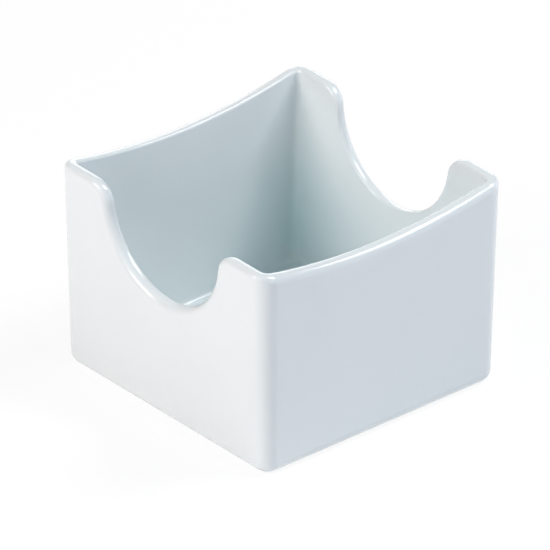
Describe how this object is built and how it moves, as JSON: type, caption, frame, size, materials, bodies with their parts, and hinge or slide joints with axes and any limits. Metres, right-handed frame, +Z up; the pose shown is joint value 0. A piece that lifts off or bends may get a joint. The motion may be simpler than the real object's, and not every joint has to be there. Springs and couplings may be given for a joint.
{
  "type": "sugar packet holder",
  "caption": "Square open-topped table caddy for sugar packets, moulded in one piece, with plain walls that dip in the middle and deep round finger notches in the side walls.",
  "frame": {"origin": "middle of the underside, on the plane of the foot that the caddy stands on", "axes": "+Z up, +X and -X out through the walls with the deep finger notches, +Y and -Y out through the plain walls"},
  "size_m": [0.0824, 0.0824, 0.06],
  "materials": {
    "melamine": "smooth glossy white moulded melamine with a slight cool tint"
  },
  "bodies": {
    "root": {"caddy_body": "melamine"}
  },
  "joints": []
}
